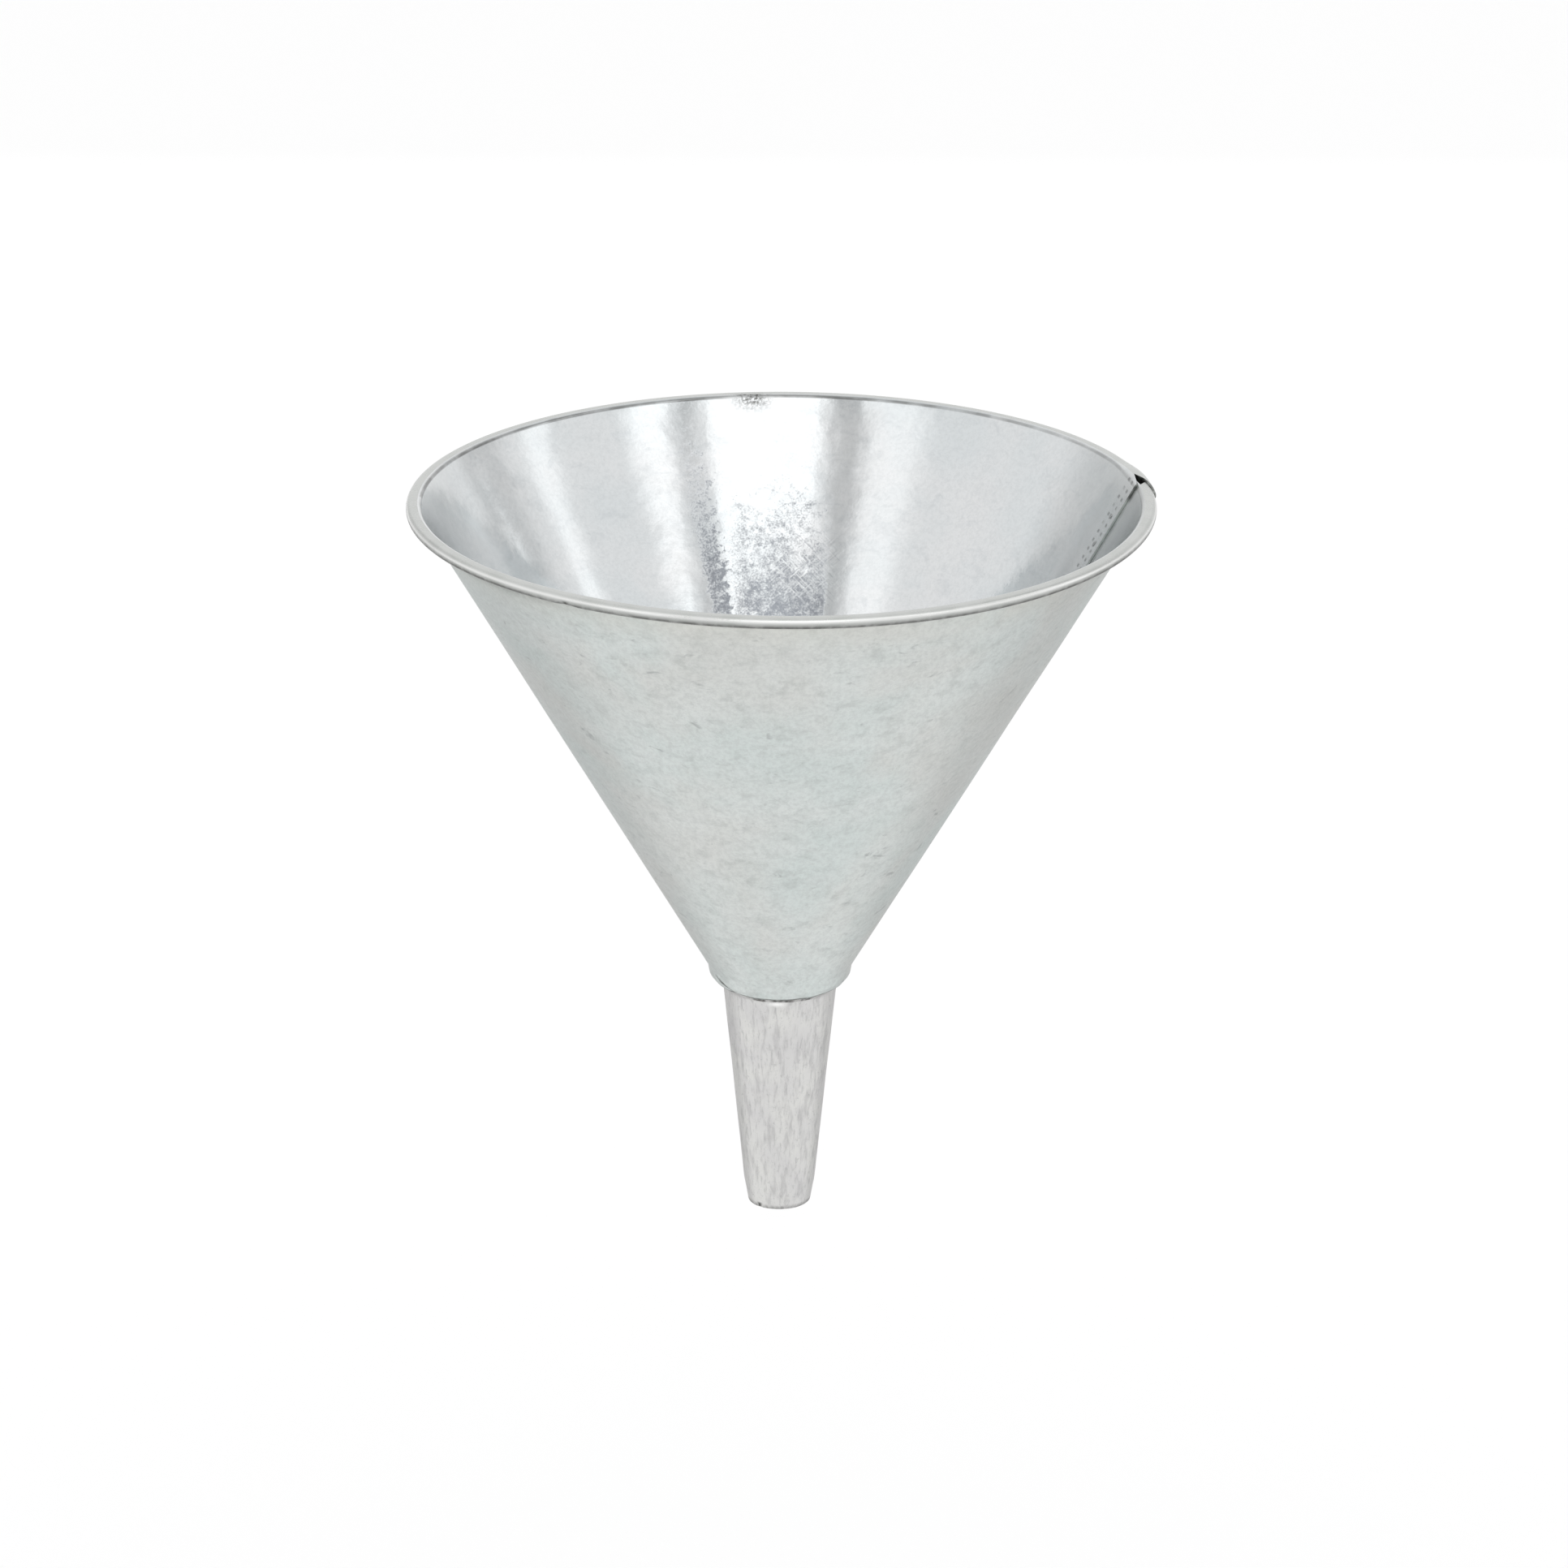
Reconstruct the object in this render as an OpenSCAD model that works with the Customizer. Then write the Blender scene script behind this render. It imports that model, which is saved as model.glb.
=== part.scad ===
// Galvanised steel funnel: a rolled sheet cone with a hollow hem, clinched on to a drawn spout.
// +Z is up, towards the mouth. The origin is on the axis at the foot of the cone,
// where the neck of a can or tank carries the funnel.

/* [Sheet] */
// Thickness of the galvanised sheet
sheet = 0.55; // [0.4:0.05:0.8]
// Clearance left between two sheets that lie on each other
joint_gap = 0.06; // [0.04:0.01:0.12]

/* [Mouth] */
// Outside diameter over the rolled hem
rim_d = 203.2; // [195:0.1:215]
// Height of the rolled hem
roll_h = 2.9; // [2.6:0.1:3.4]
// Gap left between the free edge of the hem and the cone's wall
roll_gap = 0.7; // [0.4:0.1:1.2]

/* [Cone] */
// Included angle of the cone
cone_angle = 60; // [56:0.5:62]
// Height from the foot of the cone to the middle of the hem
cone_h = 134; // [125:1:140]
// Outside diameter at the foot of the cone
foot_d = 40.6; // [38:0.1:43]

/* [Neck] */
// Outside diameter at the lower end of the collar under the cone
collar_d = 39.6; // [37:0.1:42]
// Height of the collar
collar_h = 2.8; // [2.4:0.1:3.6]
// Length of the lip that is clinched in under the spout's shoulder
lip_l = 2; // [1.6:0.1:2.8]
// Slope of the lip and of the shoulder, from the vertical
shoulder_angle = 38; // [32:1:45]

/* [Spout] */
// Length from the foot of the cone to the tip
spout_l = 73; // [60:1:85]
// Outside diameter where the taper meets the shoulder
throat_d = 31.8; // [30:0.1:33]
// Outside diameter at the lower end of the taper
taper_end_d = 19.9; // [18:0.1:22]
// Outside diameter at the tip
tip_d = 17.4; // [15:0.1:19]
// Length of the turned-in nose at the tip
nose_l = 6.5; // [5:0.5:9]
// Length of the flange that lies on the inside of the cone
flange_l = 7; // [5:0.5:10]

/* [Seam] */
// Direction of the free edge of the inner layer, from +X towards +Y
seam_angle = 6.5; // [0:0.5:360]
// Width of the lap, as an angle round the cone
lap_angle = 5; // [4:0.5:7]
// Width of the joggle that carries the inner layer outwards, as an angle
joggle_angle = 2; // [1:0.5:3]
// Width of the open line along the free edge of the outer layer, as an angle
slit_angle = 0.3; // [0.2:0.1:0.5]
// Where the hem is cut away over the lap, as angles past the inner layer's edge
notch_from = 1.5; // [1:0.5:2]
notch_to = 5; // [4.5:0.5:6]
// Diameter of each weld spot
weld_d = 1.6; // [1.2:0.1:1.8]
// Distance from one weld spot to the next
weld_pitch = 9; // [7:0.5:14]
// Leg of the solder fillet above the flange
solder_leg = 2.2; // [1.5:0.1:3]

/* [Hidden] */
$fn = 144;

half_angle = cone_angle / 2;
wall_run = tan(half_angle);            // outward step of the wall for each millimetre up
half_sheet = sheet / 2;
wall_half = half_sheet / cos(half_angle);   // half the wall, measured level
stack = sheet + joint_gap;             // middle of one sheet to the middle of the next
stack_level = stack / cos(half_angle);
foot_r = foot_d / 2 - wall_half;       // these radii are to the middle of the sheet
roll_r = roll_h / 2 - half_sheet;
roll_out_r = rim_d / 2 - half_sheet;
roll_end_r = foot_r + (cone_h - roll_r) * wall_run + wall_half + roll_gap;
hem_top_z = cone_h + roll_r;
hem_corner_r = foot_r + hem_top_z * wall_run;
collar_r = collar_d / 2 - half_sheet;
throat_r = throat_d / 2 - half_sheet;
nose_r = taper_end_d / 2 - half_sheet;
tip_r = tip_d / 2 - half_sheet;
slope_in = [-sin(shoulder_angle), -cos(shoulder_angle)];   // down the lip and the shoulder
up_wall = [sin(half_angle), cos(half_angle)];              // up the wall of the cone
weld_angle = seam_angle + lap_angle / 2;
weld_first_z = 16;                     // just above the spout's flange and its solder
weld_last_z = cone_h - 7;              // clear of the hem
hole_through = 6 * sheet;              // past both layers of the lap on either side
cut_margin = 0.1;                      // how far the slit is cut past both surfaces of the wall
lap_low_z = 11;                        // below this height the two edges only meet
lap_high_z = cone_h - roll_r;
flange_foot_z = 0.1;                   // keeps the flange's bend clear of the wall's

// Roundings at the middle of the sheet
foot_bend = 3;                         // from the wall into the collar
lip_bend = 1.2;                        // from the collar into the lip
flange_bend = 2.4;                     // from the spout's flange into its own collar
shoulder_bend = 0.6;
throat_bend = 2;                       // from the shoulder into the taper
nose_bend = 12;
bend_step = 12;                        // degrees of turn for each straight stretch of a rounding

// ---- outlines: [radius, height] points with rounded corners, thickened to a sheet ----

function unit(v) = v / norm(v);

// The arc that replaces the corner at b between a and c
function corner_arc(a, b, c, r) =
    let (into = unit(b - a), out = unit(c - b))
    let (turn = atan2(into.x * out.y - into.y * out.x, into * out))
    let (side = sign(turn), steps = max(1, round(abs(turn) / bend_step)))
    let (start = b - into * r * tan(abs(turn) / 2))
    let (centre = start + side * r * [-into.y, into.x])
    [for (i = [0 : steps]) centre + turned(start - centre, turn * i / steps)];

function turned(v, a) = [v.x * cos(a) - v.y * sin(a), v.x * sin(a) + v.y * cos(a)];

// Where one arc ends as the next begins, their shared point is kept once
function without_repeats(line) =
    [for (i = [0 : len(line) - 1]) if (i == 0 || norm(line[i] - line[max(i, 1) - 1]) > 1e-4) line[i]];

// corners is a list of [radius, height, rounding]
function rounded(corners) =
    let (p = [for (c = corners) [c[0], c[1]]], last = len(p) - 1)
    without_repeats(concat(
        [p[0]],
        [for (i = [1 : last - 1]) each corner_arc(p[i - 1], p[i], p[i + 1], corners[i][2])],
        [p[last]]
    ));

// The mitre that carries a sideways step of one half thickness at point i of a line
function mitre(line, i) =
    let (last = len(line) - 1)
    let (into = unit(line[max(i, 1)] - line[max(i, 1) - 1]))
    let (out = unit(line[min(i, last - 1) + 1] - line[min(i, last - 1)]))
    let (both = unit(into + out))
    [-both.y, both.x] / (both * into);

function thick(line, t) = concat(
    [for (i = [0 : len(line) - 1]) line[i] + mitre(line, i) * t / 2],
    [for (i = [len(line) - 1 : -1 : 0]) line[i] - mitre(line, i) * t / 2]
);

function wall_at(z) = [foot_r + z * wall_run, z];

lip_top = [collar_r, -collar_h];

// From the free edge of the hem, over the top, down the wall and in under the shoulder
cone_line = rounded([
    [roll_end_r, cone_h - roll_r, 0],
    [roll_out_r, cone_h - roll_r, roll_r],
    [roll_out_r, hem_top_z, roll_r],
    [hem_corner_r, hem_top_z, roll_r],
    [foot_r, 0, foot_bend],
    [lip_top.x, lip_top.y, lip_bend],
    concat(lip_top + slope_in * lip_l, [0])
]);

// The spout's middle line runs one stack inside the cone's as far as the shoulder
flange_top = wall_at(flange_l * cos(half_angle)) - [stack_level, 0];
shoulder_top = lip_top + [-stack, stack * tan(shoulder_angle / 2)];
shoulder_l = (shoulder_top.x - throat_r) / sin(shoulder_angle);
shoulder_end = shoulder_top + slope_in * shoulder_l;

spout_line = rounded([
    [flange_top.x, flange_top.y, 0],
    [foot_r - stack_level, flange_foot_z, flange_bend],
    [shoulder_top.x, shoulder_top.y, shoulder_bend],
    [shoulder_end.x, shoulder_end.y, throat_bend],
    [nose_r, nose_l - spout_l, nose_bend],
    [tip_r, -spout_l, 0]
]);

module revolved(points, from = 0, sweep = 360) {
    rotate_extrude(start = from, angle = sweep) polygon(points);
}

// A second layer on the inside of the wall, between two heights. It is one solid with the wall,
// so it starts at the middle of the wall and not at its surface.
module inner_layer(low_z, high_z, from, sweep) {
    depth = half_sheet + sheet;
    lower = wall_at(low_z) - [depth / 2 / cos(half_angle), 0];
    upper = wall_at(high_z) - [depth / 2 / cos(half_angle), 0];
    revolved(thick([lower, upper], depth), from, sweep);
}

// The outer layer stops short of the joggle, which leaves an open line on the outside
module outer_edge_slit() {
    lower = wall_at(lap_low_z) + [cut_margin, 0];
    upper = wall_at(lap_high_z) + [cut_margin, 0];
    revolved(thick([lower, upper], sheet + 2 * cut_margin), seam_angle + lap_angle, slit_angle);
}

// The hem is cut away across the lap, down to the level of its own underside
module hem_notch() {
    inner_r = foot_r + (lap_high_z - roll_h) * wall_run;
    outer_r = rim_d / 2 + sheet;
    rotate_extrude(start = seam_angle + notch_from, angle = notch_to - notch_from)
        translate([inner_r, lap_high_z - sheet]) square([outer_r - inner_r, roll_h + sheet]);
}

module weld_spot(z, d, length) {
    at = wall_at(z) - [wall_half, 0];
    rotate([0, 0, weld_angle])
        translate([at.x, 0, at.y])
            rotate([0, 90 + half_angle, 0]) cylinder(d = d, h = length, center = true);
}

module weld_row(d, length) {
    for (z = [weld_first_z : weld_pitch * cos(half_angle) : weld_last_z]) weld_spot(z, d, length);
}

module cone_body() {
    color("#c9cdca")
    difference() {
        union() {
            revolved(thick(cone_line, sheet));
            inner_layer(lap_low_z, lap_high_z, seam_angle, lap_angle + joggle_angle);
        }
        outer_edge_slit();
        hem_notch();
        weld_row(weld_d, hole_through);
    }
}

module spout() {
    color("#d3d4d2") revolved(thick(spout_line, sheet));
}

// A fillet from the wall of the cone to the inner edge of the spout's flange
module neck_solder() {
    outer_edge = flange_top + [half_sheet * cos(half_angle), -half_sheet * sin(half_angle)];
    inner_edge = flange_top - [half_sheet * cos(half_angle), -half_sheet * sin(half_angle)];
    wall_low = outer_edge + [joint_gap * cos(half_angle), -joint_gap * sin(half_angle)];
    wall_high = wall_low + up_wall * solder_leg;
    color("#b9bcbe") revolved([wall_low, wall_high, inner_edge, outer_edge]);
}

// The weld spots fill their holes through both layers of the lap
module seam_welds() {
    color("#a9adad") weld_row(weld_d, 2 * sheet);
}

cone_body();
spout();
neck_solder();
seam_welds();
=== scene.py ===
"""Galvanised funnel: sheet-metal meshes, procedural materials and a plain studio."""

import math

import bmesh
import bpy
import numpy as np
from mathutils import Matrix, Vector, noise


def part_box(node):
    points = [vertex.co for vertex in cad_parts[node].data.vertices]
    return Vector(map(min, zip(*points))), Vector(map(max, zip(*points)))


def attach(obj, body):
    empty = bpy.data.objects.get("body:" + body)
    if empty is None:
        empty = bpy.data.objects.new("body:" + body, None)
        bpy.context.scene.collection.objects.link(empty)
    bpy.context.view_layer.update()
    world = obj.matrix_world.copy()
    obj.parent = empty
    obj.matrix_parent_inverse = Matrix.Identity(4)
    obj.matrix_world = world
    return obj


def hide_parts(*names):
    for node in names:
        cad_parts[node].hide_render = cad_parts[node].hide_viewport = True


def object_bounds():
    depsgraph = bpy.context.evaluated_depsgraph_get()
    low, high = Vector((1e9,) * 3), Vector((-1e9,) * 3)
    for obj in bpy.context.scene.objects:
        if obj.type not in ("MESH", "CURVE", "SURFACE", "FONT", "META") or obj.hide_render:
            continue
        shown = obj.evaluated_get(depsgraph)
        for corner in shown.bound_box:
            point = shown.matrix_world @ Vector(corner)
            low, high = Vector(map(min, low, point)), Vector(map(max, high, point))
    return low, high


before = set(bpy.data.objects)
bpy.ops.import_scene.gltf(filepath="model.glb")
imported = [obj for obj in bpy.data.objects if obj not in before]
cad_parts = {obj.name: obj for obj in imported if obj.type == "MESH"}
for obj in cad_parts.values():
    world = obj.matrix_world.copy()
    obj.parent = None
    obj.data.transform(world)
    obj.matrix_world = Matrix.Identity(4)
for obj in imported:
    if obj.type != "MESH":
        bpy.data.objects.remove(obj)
cad_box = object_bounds()

# ---- sizes in metres, azimuths in degrees from +X towards +Y ------------------------------------

MM = 0.001
CONE_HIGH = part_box("cone_body")[1]
SPOUT_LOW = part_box("spout")[0]

SHEET = 0.55 * MM
STACK = 0.61 * MM                # middle of one sheet to the middle of the next
ROLL_H = 2.9 * MM
ROLL_GAP = 0.7 * MM
HEM_MIDDLE = CONE_HIGH.z - ROLL_H / 2
RIM_R = CONE_HIGH.x
HALF_ANGLE = math.radians(30)
FOOT_R = 20.3 * MM
COLLAR_R = 19.8 * MM
COLLAR_H = 2.8 * MM
LIP_L = 2.0 * MM
SHOULDER_ANGLE = math.radians(38)
THROAT_R = 15.9 * MM
TAPER_END_R = 9.95 * MM
TIP_R = 8.7 * MM
NOSE_L = 6.5 * MM
FLANGE_L = 7.0 * MM
SOLDER_LEG = 2.2 * MM
SPOUT_END = SPOUT_LOW.z + 0.05 * MM              # the cut edge's corner lies below its middle

SEAM = 6.5                       # free edge of the inner layer
LAP = 5.0
JOGGLE_FADE = 9.0                # the inner layer runs out to the wall's own line over this
ROLL_TIP = 7.9                   # rounded end of the hem on the near side of the lap
ROLL_HOLE = 11.8                 # open end of the hem on the far side of the lap
STRIP_END = 3.5                  # the hem's outer strip laps on past the roll's tip
LAP_FOOT = 10 * MM               # below this height the two edges only meet

WALL_DENTS = ((0.10, 42 * MM, 1), (0.03, 13 * MM, 2))     # depth in mm, size and seed
WARP = ((0.30, 2, 0.6), (0.16, 3, 2.0))          # of the mouth: height in mm, waves round it, phase
LIP_ROOT = -3.0 * MM             # the clinched lip runs between these heights
LIP_FREE = -4.3 * MM
LIP_OPENINGS = ((250, 9), (273, 15), (296, 8))   # middle and half width of each open stretch
PRESS_MARK = (267, 14)           # where the clinching tool left a ridge under the lip, which carries a painted highlight
PRESS_Z = -7.0 * MM
CREASE = 217                     # middle of the fold in the collar
CREASE_Z = -2.6 * MM
CREASE_SLOPE = 7.2 / MM          # degrees round the neck for each metre down
NICK = 237                       # azimuth of the nick under the hem
BRUISE = 95                      # azimuth of the one on the hem's inner edge
TIP_NICK = 232                   # azimuth of the one in the spout's tip
TIP_H = 5 * MM                   # height of the part of the tip that is knocked out of true
SHOULDER_LOW = -9 * MM           # the spout is smooth above this height
STITCH = 2.4 * MM                # from one faint mark to the next in the two rows beside the welds
STITCH_ROWS = (8.5, 10.5)

WELD_FIRST = 16 * MM
WELD_PITCH = 9 * MM * math.cos(HALF_ANGLE)
WELD_COUNT = 15
WELD_R = 0.8 * MM
WELD_AZIMUTH = SEAM + LAP / 2

WALL_RUN = math.tan(HALF_ANGLE)
HALF = SHEET / 2
LEVEL_HALF = HALF / math.cos(HALF_ANGLE)
FOOT_MID = FOOT_R - LEVEL_HALF


# ---- outlines -----------------------------------------------------------------------------------

def unit(v):
    return v / np.linalg.norm(v)


def corner_arc(a, b, c, radius):
    """Points of the arc that replaces the corner at b."""
    into, out = unit(b - a), unit(c - b)
    turn = math.atan2(into[0] * out[1] - into[1] * out[0], into @ out)
    start = b - into * radius * math.tan(abs(turn) / 2)
    left = np.array([-into[1], into[0]]) * math.copysign(1, turn)
    centre = start + left * radius
    arm = start - centre
    steps = max(2, round(abs(math.degrees(turn)) / 9))
    points = []
    for angle in np.linspace(0, turn, steps + 1):
        cos, sin = math.cos(angle), math.sin(angle)
        points.append(centre + [arm[0] * cos - arm[1] * sin, arm[0] * sin + arm[1] * cos])
    return points


def rounded(corners, step):
    """A line of (radius, height) points with arcs at its corners and no gap wider than step."""
    p = [np.array(c[:2], float) for c in corners]
    line = [p[0]]
    for i in range(1, len(p) - 1):
        line += corner_arc(p[i - 1], p[i], p[i + 1], corners[i][2])
    line.append(p[-1])
    kept = [line[0]]
    for a, b in zip(line, line[1:]):
        count = max(1, math.ceil(np.linalg.norm(b - a) / step))
        for k in range(1, count + 1):
            point = a + (b - a) * k / count
            if np.linalg.norm(point - kept[-1]) > 0.01 * MM:
                kept.append(point)
    return np.array(kept)


def finer(line, low, high, step):
    """The line with extra points between two heights, for marks that are small."""
    kept = [line[0]]
    for a, b in zip(line, line[1:]):
        inside = low < (a[1] + b[1]) / 2 < high
        count = max(1, math.ceil(np.linalg.norm(b - a) / step)) if inside else 1
        kept += [a + (b - a) * k / count for k in range(1, count + 1)]
    return np.array(kept)


def directions(line):
    """Unit tangent at each point of a line."""
    steps = np.diff(line, axis=0)
    steps = steps / np.linalg.norm(steps, axis=1)[:, None]
    both = np.vstack([steps[:1], steps[:-1] + steps[1:], steps[-1:]])
    return both / np.linalg.norm(both, axis=1)[:, None]


def wall_r(z):
    """Radius of the middle of the cone's sheet."""
    return FOOT_MID + z * WALL_RUN


LIP_TOP = np.array([COLLAR_R - HALF, -COLLAR_H])
SLOPE_IN = np.array([-math.sin(SHOULDER_ANGLE), -math.cos(SHOULDER_ANGLE)])


def cone_line():
    """From the clinched lip up the wall and round the hem to its free edge."""
    roll_r = ROLL_H / 2 - HALF
    top, bottom = HEM_MIDDLE + roll_r, HEM_MIDDLE - roll_r
    lip = LIP_TOP + SLOPE_IN * LIP_L
    line = rounded([
        (*lip, 0),
        (*LIP_TOP, 1.2 * MM),
        (FOOT_MID, 0, 3 * MM),
        (wall_r(top), top, roll_r),
        (RIM_R - HALF, top, roll_r),
        (RIM_R - HALF, bottom, roll_r),
        (wall_r(bottom) + LEVEL_HALF + ROLL_GAP, bottom, 0),
    ], 3.2 * MM)
    return finer(line, -6 * MM, 1 * MM, 0.35 * MM)


def spout_line():
    """From the flange inside the cone down to the tip."""
    stack_level = STACK / math.cos(HALF_ANGLE)
    flange_z = FLANGE_L * math.cos(HALF_ANGLE)
    shoulder = LIP_TOP + [-STACK, STACK * math.tan(SHOULDER_ANGLE / 2)]
    drop = (shoulder[0] - THROAT_R + HALF) / math.sin(SHOULDER_ANGLE)
    throat = shoulder + SLOPE_IN * drop
    line = rounded([
        (wall_r(flange_z) - stack_level, flange_z, 0),
        (FOOT_MID - stack_level, 0.1 * MM, 2.4 * MM),
        (*shoulder, 0.6 * MM),
        (*throat, 2 * MM),
        (TAPER_END_R - HALF, SPOUT_END + NOSE_L, 12 * MM),
        (TIP_R - HALF, SPOUT_END, 0),
    ], 2.4 * MM)
    return finer(line, -9 * MM, -4 * MM, 0.3 * MM)


# ---- shells of sheet metal ----------------------------------------------------------------------

def smooth(low, high, value):
    t = min(1.0, max(0.0, (value - low) / (high - low)))
    return t * t * (3 - 2 * t)


def bell(value, middle, width):
    return math.exp(-((value - middle) / width) ** 2)


def apart(a, b):
    """Difference of two azimuths, from -180 to 180."""
    return (a - b + 180) % 360 - 180


def outline_rows(count):
    """The closed outline of a sheet along a line: (index in the line, side, how far past the end)."""
    last = count - 1
    over_end = [(last, 0.7, 0.7), (last, 0.0, 1.0), (last, -0.7, 0.7)]
    over_start = [(0, -0.7, -0.7), (0, 0.0, -1.0), (0, 0.7, -0.7)]
    one_side = [(i, 1.0, 0.0) for i in range(count)]
    other_side = [(i, -1.0, 0.0) for i in range(last, -1, -1)]
    return one_side + over_end + other_side + over_start


def sheet_points(line, azimuths, shift, thickness=SHEET):
    """Points of the outline at each azimuth. azimuths(i) lists those of line point i, and
    shift(i, azimuth) gives how far the sheet moves off its line, along its line and up."""
    along = directions(line)
    edge = 0.35 * thickness
    points = []
    for i, side, past in outline_rows(len(line)):
        normal = np.array([-along[i][1], along[i][0]])
        for azimuth in azimuths(i):
            off, slide, up = shift(i, azimuth)
            moved = line[i] + normal * (side * thickness / 2 + off) + along[i] * (past * edge + slide)
            angle = math.radians(azimuth)
            points.append((moved[0] * math.cos(angle), moved[0] * math.sin(angle), moved[1] + up))
    return points


def grid_faces(rows, columns, goes_round):
    faces = []
    for j in range(rows):
        below = (j + 1) % rows
        for i in range(columns if goes_round else columns - 1):
            right = (i + 1) % columns
            here, under = j * columns, below * columns
            faces.append((here + i, under + i, under + right, here + right))
    return faces


def cut_end_faces(count, columns):
    """Faces that close the two cut ends of a sheet that doesn't go right round."""
    faces = []
    for column in (0, columns - 1):
        rings = [[j, j + 1, 2 * count + 1 - j, 2 * count + 2 - j] for j in range(count - 1)]
        rings.append(list(range(count - 1, count + 4)))
        rings.append([*range(2 * count + 2, 2 * count + 6), 0])
        faces += [[j * columns + column for j in ring] for ring in rings]
    return faces


def mesh_object(name, points, faces):
    mesh = bpy.data.meshes.new(name)
    mesh.from_pydata(points, [], faces)
    shape = bmesh.new()
    shape.from_mesh(mesh)
    bmesh.ops.recalc_face_normals(shape, faces=shape.faces)
    shape.to_mesh(mesh)
    shape.free()
    mesh.shade_smooth()
    mesh.set_sharp_from_angle(angle=math.radians(40))
    obj = bpy.data.objects.new(name, mesh)
    bpy.context.scene.collection.objects.link(obj)
    return obj


def paint_rows(obj, faces_in_row, slot_of_row):
    """Give each face of a sheet the material slot of its row of the outline."""
    for index, face in enumerate(obj.data.polygons):
        face.material_index = slot_of_row(index // faces_in_row)


def waviness(radius, azimuth, z, size, seed):
    """Smooth noise from -1 to 1 over a surface, with features about size wide."""
    angle = math.radians(azimuth)
    place = Vector((radius * math.cos(angle), radius * math.sin(angle), z)) / size
    return noise.noise(place + Vector((seed * 7.3, seed * 3.1, seed * 5.7)))


# ---- the cone -----------------------------------------------------------------------------------

def hem_warp(azimuth, z):
    """The mouth isn't quite flat: its height varies by a few tenths of a millimetre."""
    a = math.radians(azimuth)
    amount = sum(height * math.sin(waves * a + phase) for height, waves, phase in WARP)
    return amount * MM * smooth(0.35, 1.0, z / HEM_MIDDLE)


def cone_columns():
    """Azimuths of the wall's columns, closer together at the lap."""
    first, last = SEAM, SEAM + 360 + LAP
    fine = 14
    return np.concatenate([
        np.arange(first, first + fine, 0.5),
        np.linspace(first + fine, last - fine, 250, endpoint=False),
        np.arange(last - fine, last + 0.01, 0.5),
    ])


def dents_in_wall(r, azimuth, z):
    return sum(depth * waviness(r, azimuth, z, size, seed) for depth, size, seed in WALL_DENTS)


def lift_of_lip(r, azimuth, z):
    """The clinched lip stands off the spout's shoulder a little, and more where it is open."""
    opened = max(bell(apart(azimuth, middle), 0, half) for middle, half in LIP_OPENINGS)
    return -0.06 * max(0.0, waviness(r, azimuth, z, 5 * MM, 4) + 0.25) - 0.34 * opened


def fold_in_collar(azimuth, z):
    """A crease with a raised edge below it, at a slant round the collar."""
    from_crease = z - CREASE_Z + apart(azimuth, CREASE) / CREASE_SLOPE
    groove = 0.50 * bell(from_crease, 0, 0.5 * MM) - 0.22 * bell(from_crease, 0.9 * MM, 0.5 * MM)
    return groove * bell(apart(azimuth, CREASE), 0, 9)


def knocks_in_hem(azimuth, along_hem):
    nick = 0.5 * bell(apart(azimuth, NICK), 0, 0.7) * bell(along_hem, 0.62, 0.12)
    bruise = 0.3 * bell(apart(azimuth, BRUISE), 0, 0.9) * bell(along_hem, 0.0, 0.08)
    return nick + bruise


def make_cone():
    line = cone_line()
    count = len(line)
    length = np.concatenate([[0], np.cumsum(np.linalg.norm(np.diff(line, axis=0), axis=1))])
    corner = int(np.argmax(line[:, 1] > HEM_MIDDLE + ROLL_H / 2 - HALF - 0.02 * MM))
    roll_length = length[-1] - length[corner]
    share = (cone_columns() - SEAM) / (360 + LAP)

    def hem(i):
        """0 where the wall turns into the hem, 1 at the hem's free edge, negative on the wall."""
        return (length[i] - length[corner]) / roll_length

    def edges(i):
        z, h = line[i][1], hem(i)
        near_end = 360 + SEAM + LAP
        far_start = SEAM + (LAP + 0.12) * (1 - smooth(LAP_FOOT, LAP_FOOT + 2.5 * MM, z))
        turning = smooth(-0.07, 0.03, h)
        round_tip = 360 + ROLL_TIP - 1.6 * (h - 0.3) ** 2 / 0.09
        strip = bell(h, 0.48, 0.26)
        open_end = ROLL_HOLE + (STRIP_END - ROLL_HOLE) * strip
        return far_start + (open_end - far_start) * turning, near_end + (round_tip - near_end) * turning

    def azimuths(i):
        start, end = edges(i)
        return start + share * (end - start)

    def shift(i, azimuth):
        r, z = line[i]
        lapped = smooth(LAP_FOOT - 2 * MM, LAP_FOOT - 0.5 * MM, z)
        lap = STACK * lapped * (1 - smooth(SEAM + LAP + 0.2, SEAM + LAP + JOGGLE_FADE, azimuth))
        body = smooth(4 * MM, 20 * MM, z) * (1 - smooth(-0.4, -0.1, hem(i)))
        body *= 1 - bell(apart(azimuth, WELD_AZIMUTH), 0, 5)
        lip = 1 - smooth(LIP_FREE, LIP_ROOT, z)
        marks = body * dents_in_wall(r, azimuth, z) + lip * lift_of_lip(r, azimuth, z)
        marks += fold_in_collar(azimuth, z) - knocks_in_hem(azimuth, hem(i))
        ragged = 0.22 * lip * waviness(r, azimuth, z, 3.2 * MM, 3)
        return lap + marks * MM, -ragged * MM, hem_warp(azimuth, z)

    points = sheet_points(line, azimuths, shift)
    faces = grid_faces(2 * count + 6, len(share), False) + cut_end_faces(count, len(share))
    cone = mesh_object("cone_sheet", points, faces)
    cone.data.materials.append(galvanised_outside())
    cone.data.materials.append(galvanised_inside())
    cone.data.materials.append(galvanised_hem())
    outside, inside, hem_side = 0, 1, 2

    def slot_of_row(row):
        if row >= count - 1:
            return outside
        return inside if row < corner else hem_side

    paint_rows(cone, len(share) - 1, slot_of_row)
    return cone


# ---- the spout, the solder and the welds --------------------------------------------------------

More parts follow.
